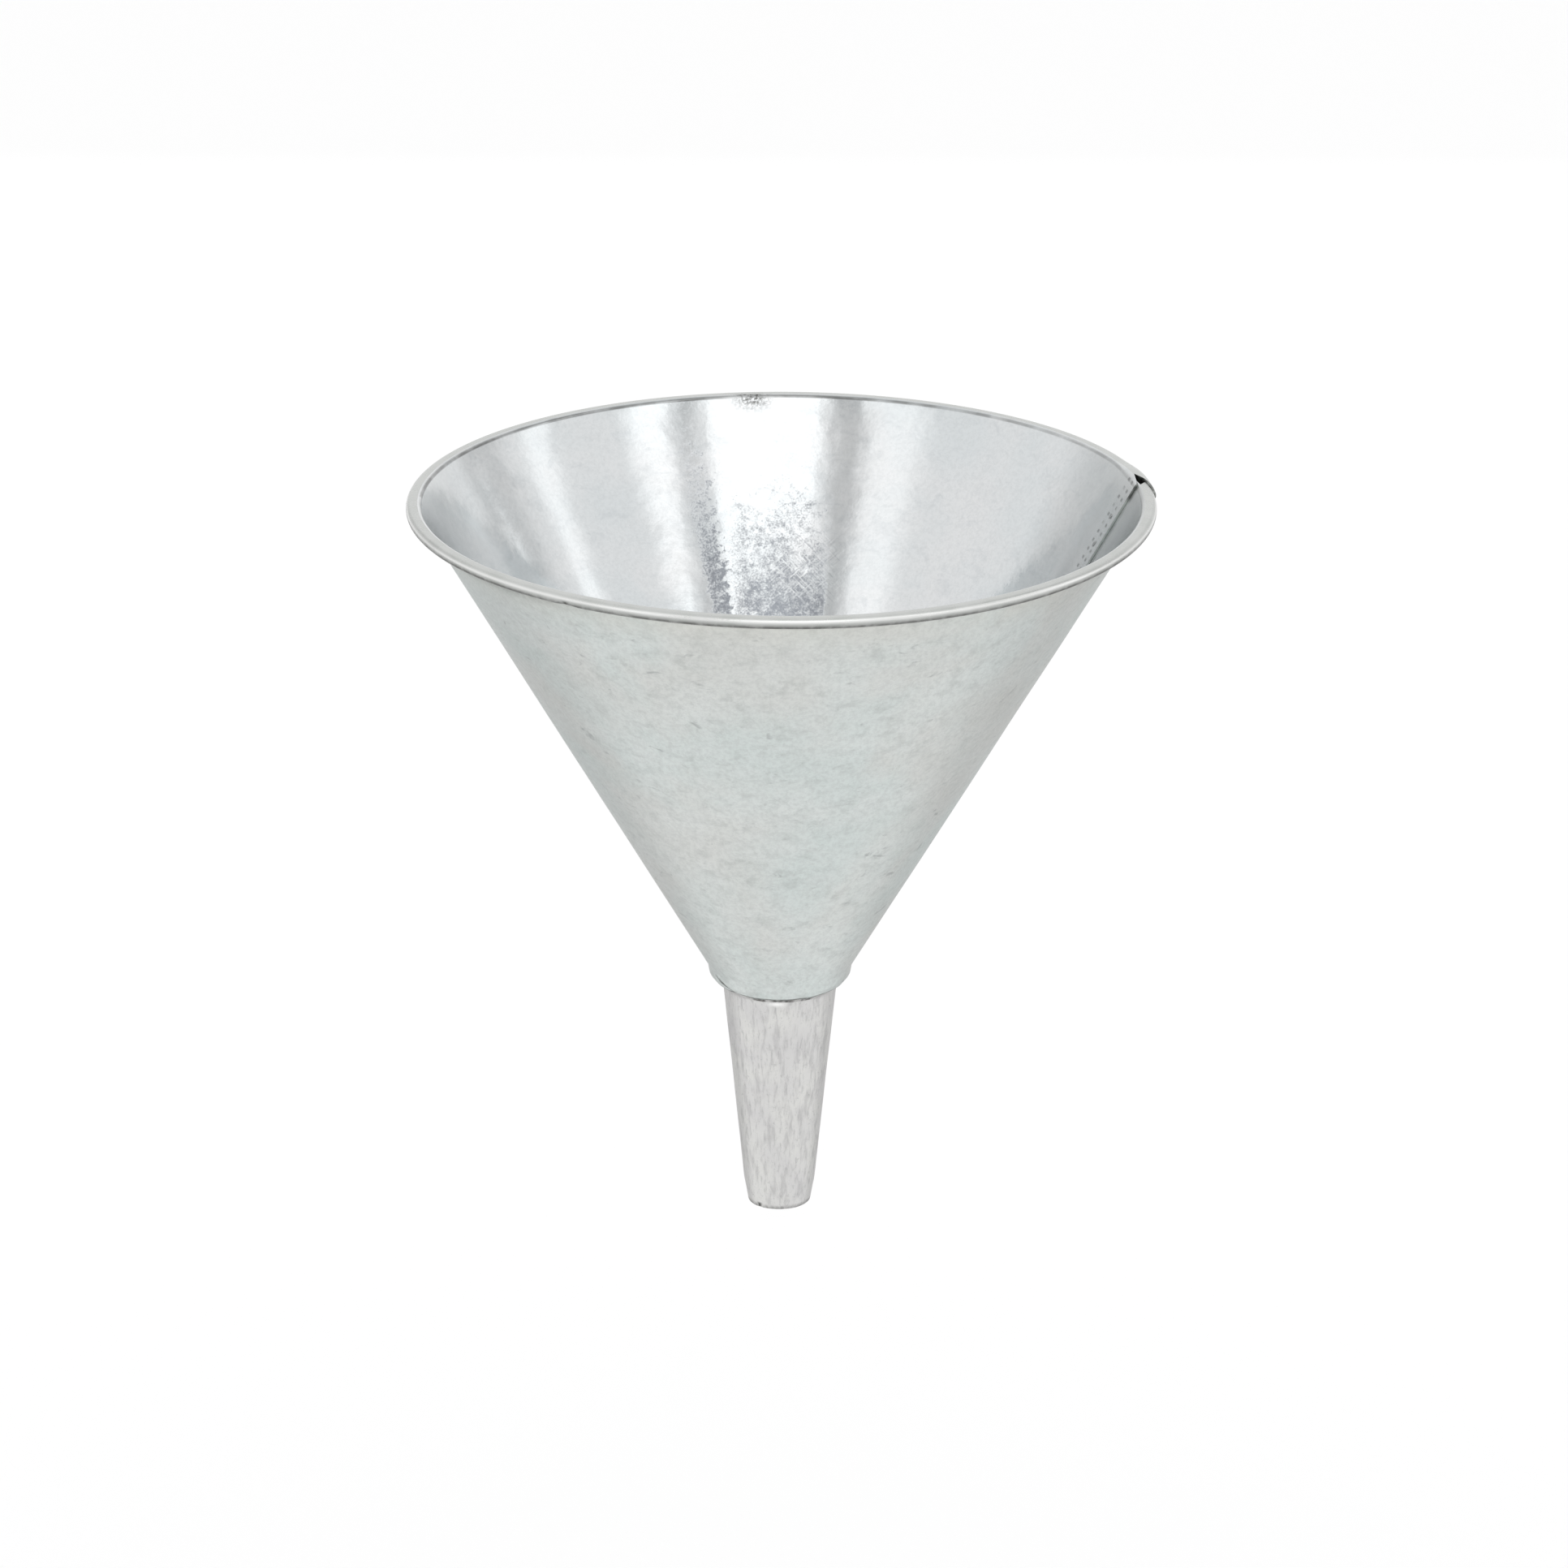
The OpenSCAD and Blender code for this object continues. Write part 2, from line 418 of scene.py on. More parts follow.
def make_spout():
    line = spout_line()
    columns = np.arange(0, 360, 1.5)

    def shift(i, azimuth):
        r, z = line[i]
        free = smooth(SHOULDER_LOW, SHOULDER_LOW - 5 * MM, z)
        drawn = 0.018 * waviness(r * 3, azimuth, z * 0.12, 4 * MM, 5)
        dents = 0.07 * waviness(r, azimuth, z, 16 * MM, 6)
        tip = 1 - smooth(SPOUT_END, SPOUT_END + TIP_H, z)
        out_of_round = 0.10 * tip * math.cos(math.radians(2 * azimuth - 40))
        nick = 0.5 * tip * bell(apart(azimuth, TIP_NICK), 0, 5)
        pressed, half = PRESS_MARK
        ridge = 0.34 * bell(apart(azimuth, pressed), 0, half) * bell(z, PRESS_Z, 0.5 * MM)
        ragged = 0.10 * waviness(r, azimuth, z, 3 * MM, 7) * tip
        off = (free * (drawn + dents) + out_of_round + 0.3 * nick + ridge) * MM
        return off, -(nick * 0.5 + ragged) * MM, 0.0

    points = sheet_points(line, lambda i: columns, shift)
    spout = mesh_object("spout_tube", points, grid_faces(2 * len(line) + 6, len(columns), True))
    spout.data.materials.append(drawn_spout())
    spout.data.materials.append(spout_inside())
    paint_rows(spout, len(columns), lambda row: 0 if row < len(line) - 1 else 1)
    return spout


def make_solder():
    """A wiped fillet from the flange's edge up the wall, a little uneven."""
    line = spout_line()
    flange, slope = line[0], np.array([math.sin(HALF_ANGLE), math.cos(HALF_ANGLE)])
    out = np.array([math.cos(HALF_ANGLE), -math.sin(HALF_ANGLE)])
    wall = flange + out * (HALF + 0.04 * MM)
    ring = [flange - out * HALF * 1.05, flange - out * HALF * 1.1 + slope * 0.12 * MM]
    for t in np.linspace(0.15, 1, 7):
        lean = (1 - t) ** 1.8
        ring.append(wall + slope * SOLDER_LEG * t - out * SHEET * lean)
    ring.append(wall)
    azimuths = np.arange(0, 360, 2.0)
    points = []
    for k, p in enumerate(ring):
        for azimuth in azimuths:
            angle = math.radians(azimuth)
            at_edge = k in (0, len(ring) - 1)
            swell = 0.0 if at_edge else 0.28 * MM * waviness(p[0], azimuth, p[1], 6 * MM, 8)
            q = p + slope * swell * (k / len(ring))
            points.append((q[0] * math.cos(angle), q[0] * math.sin(angle), q[1]))
    solder = mesh_object("solder_fillet", points, grid_faces(len(ring), len(azimuths), True))
    solder.data.materials.append(wiped_solder())
    return solder


def weld_profile():
    """(radius, distance from the middle) of one spot: a dimpled button that stands just proud of
    both layers of the lap."""
    shape = [(0.0, 0.04), (0.45, 0.05), (0.72, 0.11), (0.86, 0.12), (1.0, -0.05)]
    outer = [(r * WELD_R, SHEET + h * MM) for r, h in shape]
    inner = [(r * WELD_R, -STACK - h * MM) for r, h in reversed(shape)]
    return outer + inner


def make_welds():
    around = 20
    points, faces = [], []
    angle = math.radians(WELD_AZIMUTH)
    across_wall = Matrix.Rotation(math.radians(90) + HALF_ANGLE, 4, "Y")
    tilt = Matrix.Rotation(angle, 4, "Z") @ across_wall
    for spot in range(WELD_COUNT):
        z = WELD_FIRST + spot * WELD_PITCH
        middle_r = wall_r(z) - LEVEL_HALF
        lift = hem_warp(WELD_AZIMUTH, z)
        middle = Vector((middle_r * math.cos(angle), middle_r * math.sin(angle), z + lift))
        place = Matrix.Translation(middle) @ tilt
        first = len(points)
        rings = weld_profile()
        points.append(place @ Vector((0, 0, rings[0][1])))
        for radius, height in rings[1:-1]:
            for k in range(around):
                a = 2 * math.pi * k / around
                points.append(place @ Vector((radius * math.cos(a), radius * math.sin(a), height)))
        points.append(place @ Vector((0, 0, rings[-1][1])))
        last = len(points) - 1
        for k in range(around):
            n = (k + 1) % around
            faces.append((first, first + 1 + k, first + 1 + n))
            for ring in range(len(rings) - 3):
                a, b = first + 1 + ring * around, first + 1 + (ring + 1) * around
                faces.append((a + k, b + k, b + n, a + n))
            a = last - around
            faces.append((a + k, last, a + n))
    welds = mesh_object("weld_spots", points, faces)
    welds.data.materials.append(weld_metal())
    return welds


# ---- materials ----------------------------------------------------------------------------------

class Shading:
    """A material's node tree, with short calls to add and join nodes."""

    def __init__(self, name, metallic=1.0, **sockets):
        self.material = bpy.data.materials.new(name)
        self.material.use_nodes = True
        self.tree = self.material.node_tree
        self.shader = self.tree.nodes["Principled BSDF"]
        self.shader.inputs["Metallic"].default_value = metallic
        for socket, value in sockets.items():
            self.shader.inputs[socket.replace("_", " ")].default_value = value
        self.place = self.tree.nodes.new("ShaderNodeTexCoord").outputs["Object"]

    def put(self, value, socket):
        if isinstance(value, bpy.types.NodeSocket):
            self.tree.links.new(value, socket)
        else:
            socket.default_value = value

    def stretched(self, x, y, z, turn=0):
        """Coordinates for noise with features x, y and z long, turned in degrees about Y."""
        node = self.tree.nodes.new("ShaderNodeMapping")
        node.vector_type = "TEXTURE"
        self.put(self.place, node.inputs["Vector"])
        node.inputs["Rotation"].default_value = (0, math.radians(turn), 0)
        node.inputs["Scale"].default_value = (x, y, z)
        return node.outputs["Vector"]

    def noise(self, size, detail=3.0, rough=0.5, at=None, distort=0.0):
        """Noise with features about size metres wide, or of the mapped vector at."""
        node = self.tree.nodes.new("ShaderNodeTexNoise")
        self.put(at or self.place, node.inputs["Vector"])
        node.inputs["Scale"].default_value = 1 / size
        node.inputs["Detail"].default_value = detail
        node.inputs["Roughness"].default_value = rough
        node.inputs["Distortion"].default_value = distort
        return node.outputs["Fac"]

    def spangle(self, size):
        """A grey value for each crystal of the zinc."""
        node = self.tree.nodes.new("ShaderNodeTexVoronoi")
        self.put(self.place, node.inputs["Vector"])
        node.inputs["Scale"].default_value = 1 / size
        split = self.tree.nodes.new("ShaderNodeSeparateColor")
        self.put(node.outputs["Color"], split.inputs["Color"])
        return split.outputs["Red"]

    def to(self, value, low, high, out_low, out_high, soft=True):
        node = self.tree.nodes.new("ShaderNodeMapRange")
        node.interpolation_type = "SMOOTHSTEP" if soft else "LINEAR"
        for socket, given in zip(("Value", "From Min", "From Max", "To Min", "To Max"),
                                 (value, low, high, out_low, out_high)):
            self.put(given, node.inputs[socket])
        return node.outputs["Result"]

    def sum(self, a, b, operation="ADD"):
        node = self.tree.nodes.new("ShaderNodeMath")
        node.operation = operation
        self.put(a, node.inputs[0])
        self.put(b, node.inputs[1])
        return node.outputs["Value"]

    def times(self, a, b):
        return self.sum(a, b, "MULTIPLY")

    def axis(self, name):
        node = self.tree.nodes.new("ShaderNodeSeparateXYZ")
        self.put(self.place, node.inputs["Vector"])
        return node.outputs[name]

    def azimuth(self):
        """Degrees round the axis from +X towards +Y, from -180 to 180."""
        return self.times(self.sum(self.axis("Y"), self.axis("X"), "ARCTAN2"), 180 / math.pi)

    def level(self):
        """Height near the mouth, with the mouth's warp taken off."""
        turn = self.times(self.azimuth(), math.pi / 180)
        height = self.axis("Z")
        for rise, waves, phase in WARP:
            wave = self.sum(self.sum(self.times(turn, waves), phase), 0, "SINE")
            height = self.sum(height, self.times(wave, -rise * MM))
        return height

    def near(self, value, middle, reach):
        """1 where value is at middle, falling smoothly to 0 at reach from it."""
        return self.to(self.sum(self.sum(value, -middle), 0, "ABSOLUTE"), 0, reach, 1, 0)

    def between(self, value, low, high, edge):
        """1 where value is between low and high, with soft edges."""
        rise = self.to(value, low - edge, low + edge, 0, 1)
        return self.times(rise, self.to(value, high - edge, high + edge, 1, 0))

    def blend(self, share, a, b):
        node = self.tree.nodes.new("ShaderNodeMix")
        node.data_type = "RGBA"
        self.put(share, node.inputs["Factor"])
        self.put(a, node.inputs[6])
        self.put(b, node.inputs[7])
        return node.outputs[2]

    def bump(self, height, depth, under=None):
        node = self.tree.nodes.new("ShaderNodeBump")
        self.put(height, node.inputs["Height"])
        node.inputs["Distance"].default_value = depth
        if under is not None:
            self.put(under, node.inputs["Normal"])
        return node.outputs["Normal"]

    def finish(self, colour, roughness, normal):
        self.put(colour, self.shader.inputs["Base Color"])
        self.put(roughness, self.shader.inputs["Roughness"])
        self.put(normal, self.shader.inputs["Normal"])
        return self.material


def rgb(r, g, b):
    return (r, g, b, 1.0)


HEM_TOP = CONE_HIGH.z
HEM_FOOT = CONE_HIGH.z - ROLL_H
# Dark grey for painted shade under the hem, in the collar's crease, under the clinched lip and at the
# spout's tip, and for the smudge and the nicks.
SHADE_AND_SMUDGE_GREY = rgb(0.09, 0.09, 0.085)
SHADED, SHADED_HALF = 214, 38    # where the painted shade under the hem is widest


def signed(azimuth):
    """An azimuth as the shading gives it, from -180 to 180."""
    return apart(azimuth, 0)


def galvanised_outside():
    """Satin zinc: cool and warm clouds, darker flecks that lie along the rolling, and a fine grain."""
    m = Shading("galvanised_outside")
    level, azimuth = m.level(), m.azimuth()
    cool = m.to(m.noise(50 * MM, 3, distort=0.5), 0.36, 0.60, 0, 1)
    colour = m.blend(cool, rgb(0.652, 0.666, 0.645), rgb(0.632, 0.686, 0.670))
    clouds = m.noise(1.0, 4, at=m.stretched(24 * MM, 24 * MM, 16 * MM))
    colour = m.blend(m.to(clouds, 0.36, 0.68, 0, 0.5), colour, rgb(0.712, 0.742, 0.728))
    mottle = m.noise(1.0, 5, 0.62, at=m.stretched(5.5 * MM, 5.5 * MM, 3.8 * MM), distort=0.25)
    colour = m.blend(m.to(mottle, 0.50, 0.72, 0, 0.31), colour, rgb(0.400, 0.425, 0.415))
    flecks = m.noise(1.0, 3, 0.6, at=m.stretched(7 * MM, 7 * MM, 4 * MM), distort=0.5)
    colour = m.blend(m.to(flecks, 0.64, 0.75, 0, 0.56), colour, rgb(0.28, 0.30, 0.30))
    pits = m.to(m.noise(1.3 * MM, 4, 0.75), 0.35, 0.62, 0.24, 0)
    colour = m.blend(pits, colour, rgb(0.34, 0.35, 0.35))
    colour = m.blend(m.to(m.spangle(3.5 * MM), 0, 1, 0, 0.10), colour, rgb(0.78, 0.79, 0.79))
    near_hem = m.to(level, HEM_FOOT - 12 * MM, HEM_FOOT, 0, 0.35)
    stained = m.times(near_hem, m.to(clouds, 0.3, 0.6, 0.3, 1))
    colour = m.blend(stained, colour, rgb(0.620, 0.605, 0.540))
    # Painted shade: the wall is darkened just under the hem, over a wider band round SHADED.
    shade_under_hem = m.to(level, HEM_FOOT - 2.2 * MM, HEM_FOOT - 0.4 * MM, 0, 0.8)
    below_hem = m.to(level, HEM_FOOT - 6 * MM, HEM_FOOT - 1 * MM, 0, 0.5)
    shaded = m.times(m.near(azimuth, signed(SHADED), SHADED_HALF), below_hem)
    # Painted shade along the crease of the fold in the collar.
    fold = m.sum(m.axis("Z"), m.times(m.sum(azimuth, -signed(CREASE)), 1 / CREASE_SLOPE))
    crease = m.times(m.near(fold, CREASE_Z - 0.1 * MM, 0.85 * MM), m.near(azimuth, signed(CREASE), 14))
    # Painted shade along the clinched lip's lower edge.
    shade_at_lip_edge = m.to(m.axis("Z"), -4.5 * MM, -4.1 * MM, 0.8, 0)
    # All of this darkening is painted shade.
    darkening = m.sum(m.sum(shade_under_hem, shaded, "MAXIMUM"), m.sum(m.times(crease, 1.3), shade_at_lip_edge))
    colour = m.blend(m.times(darkening, m.to(m.noise(1.6 * MM, 3), 0.3, 0.6, 0.55, 1)), colour, SHADE_AND_SMUDGE_GREY)
    grain = m.bump(m.noise(0.7 * MM, 3), 0.02 * MM)
    roughness = m.to(mottle, 0.35, 0.65, 0.34, 0.46)
    return m.finish(colour, roughness, m.bump(m.noise(7 * MM, 3), 0.12 * MM, grain))


def inside_dark_marks(m, level, azimuth):
    """Grain low on the back wall and down one strip beside it, with scratches that cross it."""
    fine = m.noise(0.55 * MM, 4, 0.8)
    coarse = m.noise(2.0 * MM, 3, 0.65)
    cluster = m.noise(7 * MM, 3, 0.6)
    ragged = m.times(m.sum(coarse, -0.5), 9)
    from_middle = m.times(m.sum(m.sum(azimuth, -91), 0, "ABSOLUTE"), 0.7 * MM)
    height = m.sum(m.sum(level, from_middle), m.times(m.sum(cluster, -0.5), 40 * MM))
    low = m.to(height, 126 * MM, 84 * MM, 0, 1, soft=False)
    leaning = m.sum(m.sum(azimuth, m.times(m.sum(level, -127 * MM), -0.067 / MM)), ragged)
    downwards = m.to(level, 130 * MM, 90 * MM, 0.28, 1, soft=False)
    strip = m.times(m.between(leaning, 105, 110.5, 1.4), downwards)
    left_of_key = m.to(m.sum(azimuth, ragged), 104, 99, 0, 1)
    middle = m.times(m.times(left_of_key, m.to(azimuth, 78.6, 79.8, 0, 1)), low)
    zone = m.times(m.sum(strip, middle, "MAXIMUM"), m.to(level, 38 * MM, 80 * MM, 0, 1))
    mixed = m.sum(m.sum(m.times(fine, 0.62), m.times(coarse, 0.38)), m.times(zone, 0.26))
    specks = m.times(m.to(mixed, 0.59, 0.83, 0, 1), m.to(zone, 0.02, 0.45, 0, 1))
    falling = m.noise(1.0, 2, 0.6, at=m.stretched(8 * MM, 8 * MM, 0.42 * MM, 42))
    rising = m.noise(1.0, 2, 0.6, at=m.stretched(7 * MM, 7 * MM, 0.42 * MM, -38))
    crossed = m.times(m.near(azimuth, 86, 13), m.near(level, 91 * MM, 14 * MM))
    bright_lines = m.times(m.to(m.sum(falling, rising, "MAXIMUM"), 0.56, 0.63, 0, 1), crossed)
    dark_lines = m.times(m.to(m.sum(falling, rising, "MINIMUM"), 0.40, 0.32, 0, 1), crossed)
    grain = m.sum(m.times(specks, 0.84), m.times(zone, 0.05))
    dark = m.sum(grain, m.times(dark_lines, 0.85), "MAXIMUM")
    return m.times(dark, m.to(bright_lines, 0, 1, 1, 0.12)), specks, bright_lines


def stitch_marks(m, level, azimuth):
    """Two rows of faint marks along the lap, one on each side of the welds."""
    wave = m.sum(m.times(level, 2 * math.pi / STITCH), 0, "SINE")
    rows = m.sum(m.near(azimuth, STITCH_ROWS[0], 0.8), m.near(azimuth, STITCH_ROWS[1], 0.8), "MAXIMUM")
    marks = m.times(m.to(wave, 0.1, 0.8, 0, 1), m.to(rows, 0.1, 0.7, 0, 1))
    return m.times(marks, m.to(m.noise(2.2 * MM, 3), 0.35, 0.52, 0.2, 1))


def galvanised_inside():
    """Brighter, harder-rolled zinc, softly mottled, with grain and scratches on the back wall."""
    m = Shading("galvanised_inside")
    level, azimuth = m.level(), m.azimuth()
    clouds = m.noise(24 * MM, 4)
    colour = m.blend(m.to(clouds, 0.3, 0.7, 0, 1), rgb(0.640, 0.668, 0.678), rgb(0.690, 0.700, 0.705))
    mottle = m.noise(1.0, 5, 0.65, at=m.stretched(7 * MM, 7 * MM, 4 * MM), distort=0.5)
    colour = m.blend(m.to(mottle, 0.50, 0.70, 0, 0.24), colour, rgb(0.45, 0.48, 0.50))
    pits = m.to(m.noise(1.2 * MM, 4, 0.75), 0.35, 0.60, 0.14, 0)
    colour = m.blend(pits, colour, rgb(0.36, 0.38, 0.39))
    # Painted shade on the wall beside the seam, darker still from azimuth -40 up to the lap's free
    # edge.
    painted_shade_beside_seam = m.times(m.near(azimuth, 4, 32), 0.34)
    colour = m.blend(painted_shade_beside_seam, colour, rgb(0.40, 0.42, 0.41))
    painted_shade_before_seam = m.times(m.to(azimuth, SEAM, SEAM - 1, 0, 1), m.to(azimuth, -40, -10, 0, 0.25))
    colour = m.blend(painted_shade_before_seam, colour, rgb(0.30, 0.32, 0.31))
    # Painted light: the inside is lightened on the -X side, round azimuth 180.
    painted_light_at_left = m.times(m.near(m.sum(azimuth, 0, "ABSOLUTE"), 180, 30), 0.4)
    colour = m.blend(painted_light_at_left, colour, rgb(0.86, 0.87, 0.87))
    colour = m.blend(m.times(stitch_marks(m, level, azimuth), 0.8), colour, rgb(0.20, 0.21, 0.21))
    dark, specks, bright_lines = inside_dark_marks(m, level, azimuth)
    colour = m.blend(dark, colour, rgb(0.19, 0.205, 0.23))
    # Painted shade: a dark line just below the top of the inside, where the wall turns over into the
    # hem, stronger towards +Y.
    shade_line_at_top = m.times(m.between(level, HEM_TOP - 0.85 * MM, HEM_TOP - 0.15 * MM, 0.2 * MM), 0.75)
    near_top = m.to(level, HEM_TOP - 5.5 * MM, HEM_TOP - 0.5 * MM, 0, 1)
    smudge = m.times(m.near(azimuth, BRUISE, 5), near_top)
    smudge = m.times(smudge, m.to(m.noise(0.8 * MM, 4, 0.7), 0.34, 0.66, 0, 1.2))
    shade_line_at_top = m.times(shade_line_at_top, m.to(azimuth, 25, 75, 0.5, 1))
    # The painted shade line and the smudge by the bruise.
    darkening = m.sum(m.times(shade_line_at_top, m.to(m.noise(9 * MM, 3), 0.3, 0.65, 0.5, 1)), smudge, "MAXIMUM")
    colour = m.blend(darkening, colour, SHADE_AND_SMUDGE_GREY)
    duller = m.times(m.sum(painted_light_at_left, painted_shade_beside_seam, "MAXIMUM"), 0.28)
    roughness = m.sum(m.to(clouds, 0.3, 0.7, 0.10, 0.16), m.sum(m.times(specks, 0.10), duller))
    grain = m.bump(m.noise(0.8 * MM, 3), 0.008 * MM)
    etched = m.bump(m.sum(m.times(bright_lines, 0.6), m.times(specks, 0.8)), 0.02 * MM, grain)
    uneven = m.bump(m.noise(3.5 * MM, 3), 0.022 * MM, etched)
    return m.finish(colour, roughness, m.bump(m.noise(12 * MM, 2), 0.14 * MM, uneven))


def galvanised_hem():
    """The rolled edge: a painted highlight along its crown, and painted shade in the corner underneath.
    """
    m = Shading("galvanised_hem")
    level, azimuth = m.level(), m.azimuth()
    clouds = m.noise(9 * MM, 4)
    colour = m.blend(m.to(clouds, 0.3, 0.7, 0, 1), rgb(0.480, 0.495, 0.480), rgb(0.550, 0.560, 0.548))
    # Painted highlight along the crown.
    crown = m.near(level, HEM_TOP - 0.8 * MM, 0.6 * MM)
    colour = m.blend(m.times(crown, 0.6), colour, rgb(0.90, 0.90, 0.89))
    # Painted shade on the hem's underside, reaching higher on the ±X sides.
    at_sides = m.to(m.sum(m.sum(m.sum(azimuth, 0, "ABSOLUTE"), -90), 0, "ABSOLUTE"), 35, 75, 0, 1)
    lowered = m.sum(level, m.times(at_sides, -0.55 * MM))
    shade_underside = m.to(lowered, HEM_FOOT + 1.7 * MM, HEM_FOOT + 0.5 * MM, 0, 0.9)
    at_foot = m.to(level, HEM_FOOT + 1.8 * MM, HEM_FOOT + 1 * MM, 0, 1)
    nick = m.times(m.near(azimuth, signed(NICK), 1.2), at_foot)
    darkening = m.times(m.sum(shade_underside, nick, "MAXIMUM"), m.to(m.noise(2.5 * MM, 3), 0.3, 0.65, 0.6, 1))
    colour = m.blend(darkening, colour, SHADE_AND_SMUDGE_GREY)
    grain = m.bump(m.noise(1.0 * MM, 3), 0.02 * MM)
    return m.finish(colour, m.to(clouds, 0.3, 0.7, 0.22, 0.34), grain)


def draw_lines(m):
    """Satin zinc with fine lines that run down the spout: its colour, and the lines alone."""
    clouds = m.noise(9 * MM, 3)
    colour = m.blend(m.to(clouds, 0.3, 0.7, 0, 1), rgb(0.660, 0.655, 0.652), rgb(0.715, 0.714, 0.696))
    lines = m.noise(1.0, 4, 0.7, at=m.stretched(0.8 * MM, 0.8 * MM, 5 * MM))
    broad = m.noise(1.0, 3, 0.6, at=m.stretched(1.9 * MM, 1.9 * MM, 9 * MM))
    colour = m.blend(m.to(lines, 0.50, 0.70, 0, 0.42), colour, rgb(0.38, 0.375, 0.38))
    colour = m.blend(m.to(broad, 0.48, 0.70, 0, 0.44), colour, rgb(0.40, 0.395, 0.40))
    pits = m.to(m.noise(1.1 * MM, 4, 0.75), 0.55, 0.72, 0, 0.42)
    colour = m.blend(pits, colour, rgb(0.34, 0.34, 0.34))
    return colour, lines


def finish_spout(m, colour, lines):
    normal = m.bump(lines, 0.02 * MM, m.bump(m.noise(0.8 * MM, 3), 0.012 * MM))
    return m.finish(colour, m.to(lines, 0.4, 0.7, 0.34, 0.46), normal)


def spout_inside():
    m = Shading("spout_inside")
    return finish_spout(m, *draw_lines(m))


def drawn_spout():
    """The spout's outer side, with painted shade in the joint and at the tip's edge, a painted
    highlight on the ridge below the joint, and a nick in the tip.
    """
    m = Shading("drawn_spout")
    z, azimuth = m.axis("Z"), m.azimuth()
    colour, lines = draw_lines(m)
    # Painted shade on the last 1.5 mm of the tip.
    edge = m.to(z, SPOUT_END + 1.5 * MM, SPOUT_END, 0, 0.6)
    at_tip = m.to(z, SPOUT_END + 1.8 * MM, SPOUT_END + 0.9 * MM, 0, 1)
    nick = m.times(m.near(azimuth, signed(TIP_NICK), 9), at_tip)
    # Painted shade on the shoulder just under the clinched lip, full where the lip stands open and
    # faint elsewhere.
    crevice_shade = m.between(z, -6.3 * MM, -4.2 * MM, 0.2 * MM)
    opened = m.near(azimuth, signed(LIP_OPENINGS[0][0]), LIP_OPENINGS[0][1])
    for middle, half in LIP_OPENINGS[1:]:
        opened = m.sum(opened, m.near(azimuth, signed(middle), half), "MAXIMUM")
    crevice_shade = m.times(crevice_shade, m.to(opened, 0, 0.5, 0.18, 1))
    darkening = m.sum(m.sum(edge, nick, "MAXIMUM"), crevice_shade, "MAXIMUM")
    colour = m.blend(m.times(darkening, m.to(m.noise(1.2 * MM, 3), 0.3, 0.6, 0.5, 1)), colour, SHADE_AND_SMUDGE_GREY)
    # Painted highlight on the ridge that the clinching tool left under the lip.
    middle, half = PRESS_MARK
    pressed = m.times(m.near(azimuth, signed(middle), half), m.near(z, PRESS_Z, 1.3 * MM))
    return finish_spout(m, m.blend(pressed, colour, rgb(0.93, 0.93, 0.92)), lines)


def wiped_solder():
    m = Shading("wiped_solder")
    clouds = m.noise(5 * MM, 4)
    colour = m.blend(m.to(clouds, 0.3, 0.7, 0, 1), rgb(0.50, 0.51, 0.52), rgb(0.63, 0.64, 0.65))
    return m.finish(colour, m.to(clouds, 0.3, 0.7, 0.30, 0.5), m.bump(m.noise(1.6 * MM, 3), 0.06 * MM))


def weld_metal():
    m = Shading("weld_metal")
    clouds = m.noise(0.7 * MM, 3)
    colour = m.blend(m.to(clouds, 0.35, 0.65, 0, 1), rgb(0.22, 0.23, 0.23), rgb(0.42, 0.43, 0.43))
    return m.finish(colour, m.to(clouds, 0.3, 0.7, 0.32, 0.5), m.bump(clouds, 0.03 * MM))


# ---- studio -------------------------------------------------------------------------------------

def plain_material(name, colour, roughness):
    m = Shading(name, metallic=0.0)
    cloud = m.to(m.noise(0.4, 2), 0.3, 0.7, 0.0, 0.01)
    tone = m.blend(cloud, rgb(*colour), rgb(*(c * 0.97 for c in colour)))
    return m.finish(tone, m.to(cloud, 0, 0.01, roughness, roughness + 0.02), m.bump(cloud, 0.01 * MM))


WORLD = 1.05                     # strength of the even light from all round
FLOOR_DROP = 0.25                # from the tip down to the floor
AIM = Vector((0, 0, 0.1))        # the cards stand round this point, inside the mouth
CARD_DISTANCE = 2.4

CAMERA_AT = (0.00097, -1.40574, 0.58326)
CAMERA_DOWN, CAMERA_ROLL = 20.69, 0.19           # degrees
SENSOR, LENS = 36.0, 124.8                       # millimetres


def make_floor():
    """Plain and pale, well below the tip: a neck would carry the funnel, so it stands on nothing."""
    reach = 20.0
    level = cad_box[0].z - FLOOR_DROP
    corners = [(x * reach, y * reach, level) for x, y in ((-1, -1), (1, -1), (1, 1), (-1, 1))]
    floor = mesh_object("floor", corners, [(0, 1, 2, 3)])
    floor.data.materials.append(plain_material("floor_paint", (0.94, 0.94, 0.94), 0.9))


def card_glow(name, half_w, half_h, strength, soft):
    """Light that fades to the world's own level over a share of the card at its left, right and
    foot."""
    glow = Shading("glow_" + name, metallic=0.0, Base_Color=rgb(0, 0, 0), Specular_IOR_Level=0.0)
    across = glow.axis("X")
    left = glow.to(across, -half_w, half_w * (2 * soft[0] - 1), 0, 1)
    right = glow.to(across, half_w, half_w * (1 - 2 * soft[1]), 0, 1)
    foot = glow.to(glow.axis("Y"), -half_h, half_h * (2 * soft[2] - 1), 0, 1)
    share = glow.times(glow.times(left, right), foot)
    level = glow.blend(share, rgb(WORLD, WORLD, WORLD), rgb(strength, strength, strength))
    glow.put(level, glow.shader.inputs["Emission Color"])
    glow.put(1.0, glow.shader.inputs["Emission Strength"])
    return glow.material


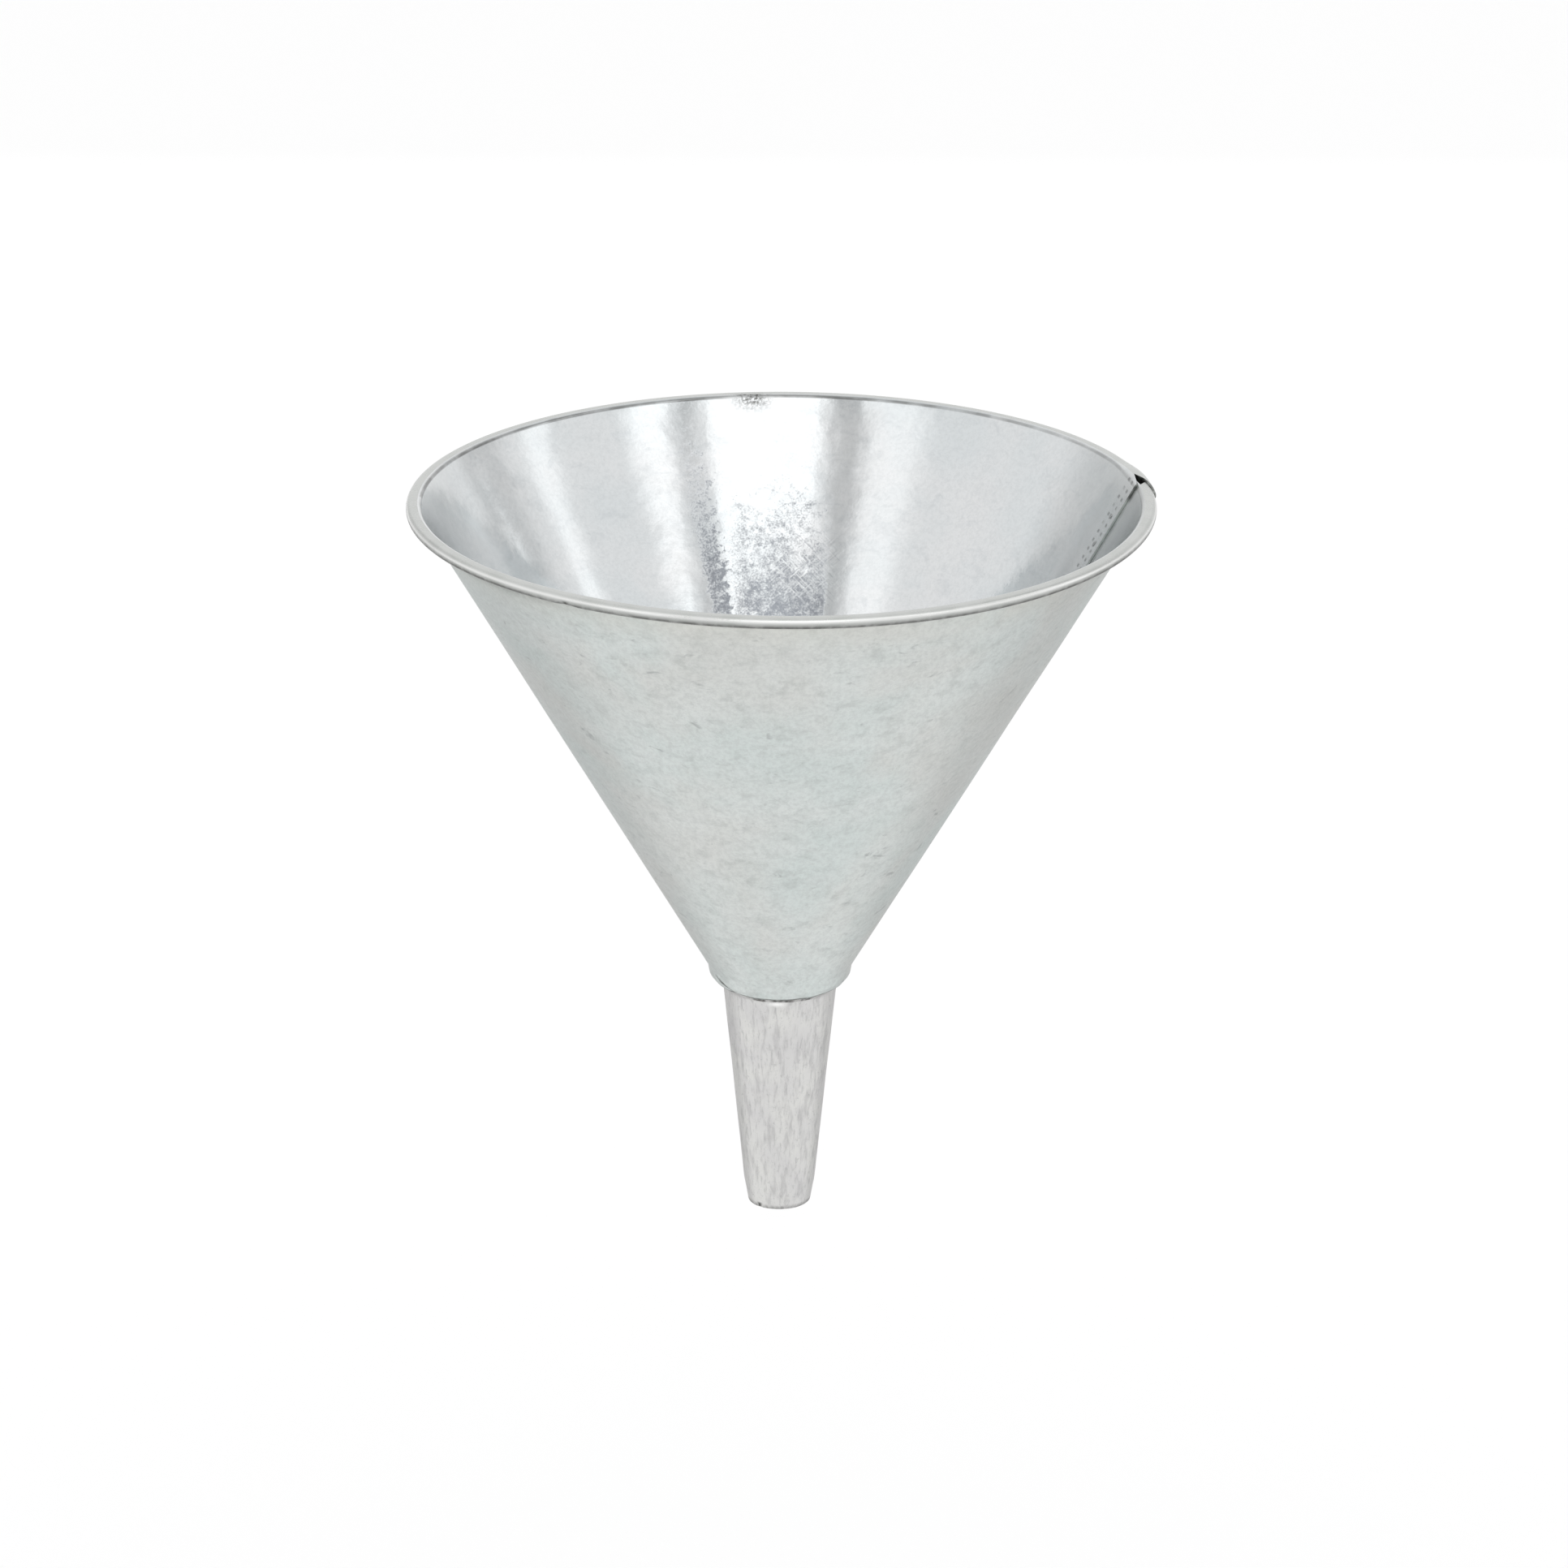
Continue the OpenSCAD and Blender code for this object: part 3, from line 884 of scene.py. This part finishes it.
def lit_card(name, place, half_w, half_h, strength, soft):
    """A flat lit card that only reflections see."""
    corners = [(half_w * x, half_h * y, 0) for x, y in ((-1, -1), (1, -1), (1, 1), (-1, 1))]
    card = mesh_object("card_" + name, corners, [(0, 1, 2, 3)])
    card.matrix_world = place
    card.data.materials.append(card_glow(name, half_w, half_h, strength, soft))
    card.visible_camera = card.visible_diffuse = card.visible_shadow = False


def make_panel(name, middle, width, low, high, strength, soft, distance=CARD_DISTANCE):
    """A card that covers width degrees round the mouth, between two elevations. Here azimuth 0 is
    over the camera, and 90 is over +X."""
    a, elevation = math.radians(middle), math.radians((low + high) / 2)
    side = Vector((math.cos(a), math.sin(a), 0))
    level_out = Vector((math.sin(a), -math.cos(a), 0))
    out = level_out * math.cos(elevation) + Vector((0, 0, math.sin(elevation)))
    up = out.cross(side)
    half_w = distance * math.cos(elevation) * math.tan(math.radians(width / 2))
    half_h = distance * math.tan(math.radians((high - low) / 2))
    turn = Matrix((side, up, side.cross(up))).transposed().to_4x4()
    lit_card(name, Matrix.Translation(AIM + out * distance) @ turn, half_w, half_h, strength, soft)


def make_floor_card(name, half_w, near, far, strength):
    """A card on the floor behind the funnel, which its sides and the spout's sides reflect."""
    place = Matrix.Translation((0, (near + far) / 2, cad_box[0].z - FLOOR_DROP + 0.01))
    lit_card(name, place, half_w, (far - near) / 2, strength, (0.25, 0.25, 0.12))


def make_light():
    world = bpy.data.worlds.new("studio")
    world.use_nodes = True
    world.node_tree.nodes["Background"].inputs["Color"].default_value = rgb(1, 1, 1)
    world.node_tree.nodes["Background"].inputs["Strength"].default_value = WORLD
    bpy.context.scene.world = world
    # middle, width, lowest and highest elevation in degrees, strength, soft share of three edges
    make_panel("key", 7, 56, 37, 75, 1.65, (0.01, 0.02, 0.09))
    make_panel("right_gap", -27.5, 13, 20, 75, 0.67, (0.15, 0.02, 0.02))
    make_panel("right_band", -49, 30, 20, 70, 1.34, (0.45, 0.1, 0.02))
    make_panel("left_gap", 38.5, 7, 20, 70, 0.74, (0.02, 0.15, 0.02))
    make_panel("left_band", 56.5, 29, 35.5, 70, 1.6, (0.12, 0.55, 0.09))
    make_panel("far_left_band", 97, 17, 5, 60, 1.42, (0.4, 0.4, 0.02))
    make_panel("far_left_gap", 122, 32, 5, 60, 0.78, (0.3, 0.3, 0.02))
    make_panel("left_glint", 119, 13, 11, 16, 1.4, (0.4, 0.4, 0.3), distance=2.2)
    make_panel("left_shade", 150, 34, 1, 30, 0.96, (0.2, 0.2, 0.02))
    make_panel("right_shade", -136, 52, 1, 34, 0.82, (0.2, 0.4, 0.02))
    make_floor_card("low_back", 0.95, 0.0, 2.2, 0.66)
    bpy.context.scene.view_settings.view_transform = "Standard"


def make_camera():
    """The photograph's viewing angle: above the mouth, looking down by a little over 20 degrees."""
    data = bpy.data.cameras.new("camera")
    data.sensor_width = SENSOR
    data.lens = LENS
    data.clip_start, data.clip_end = 0.05, 60
    camera = bpy.data.objects.new("camera", data)
    tilt = Matrix.Rotation(math.radians(90 - CAMERA_DOWN), 4, "X")
    roll = Matrix.Rotation(math.radians(CAMERA_ROLL), 4, "Z")
    camera.matrix_world = Matrix.Translation(CAMERA_AT) @ tilt @ roll
    bpy.context.scene.collection.objects.link(camera)
    bpy.context.scene.camera = camera


make_camera()
make_light()
make_floor()
for piece, node, slot in (
    (make_cone(), "cone_body", "galvanised_sheet"),
    (make_spout(), "spout", "drawn_spout"),
    (make_solder(), "neck_solder", "solder"),
    (make_welds(), "seam_welds", "weld_spots"),
):
    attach(piece, "root")
    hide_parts(node)
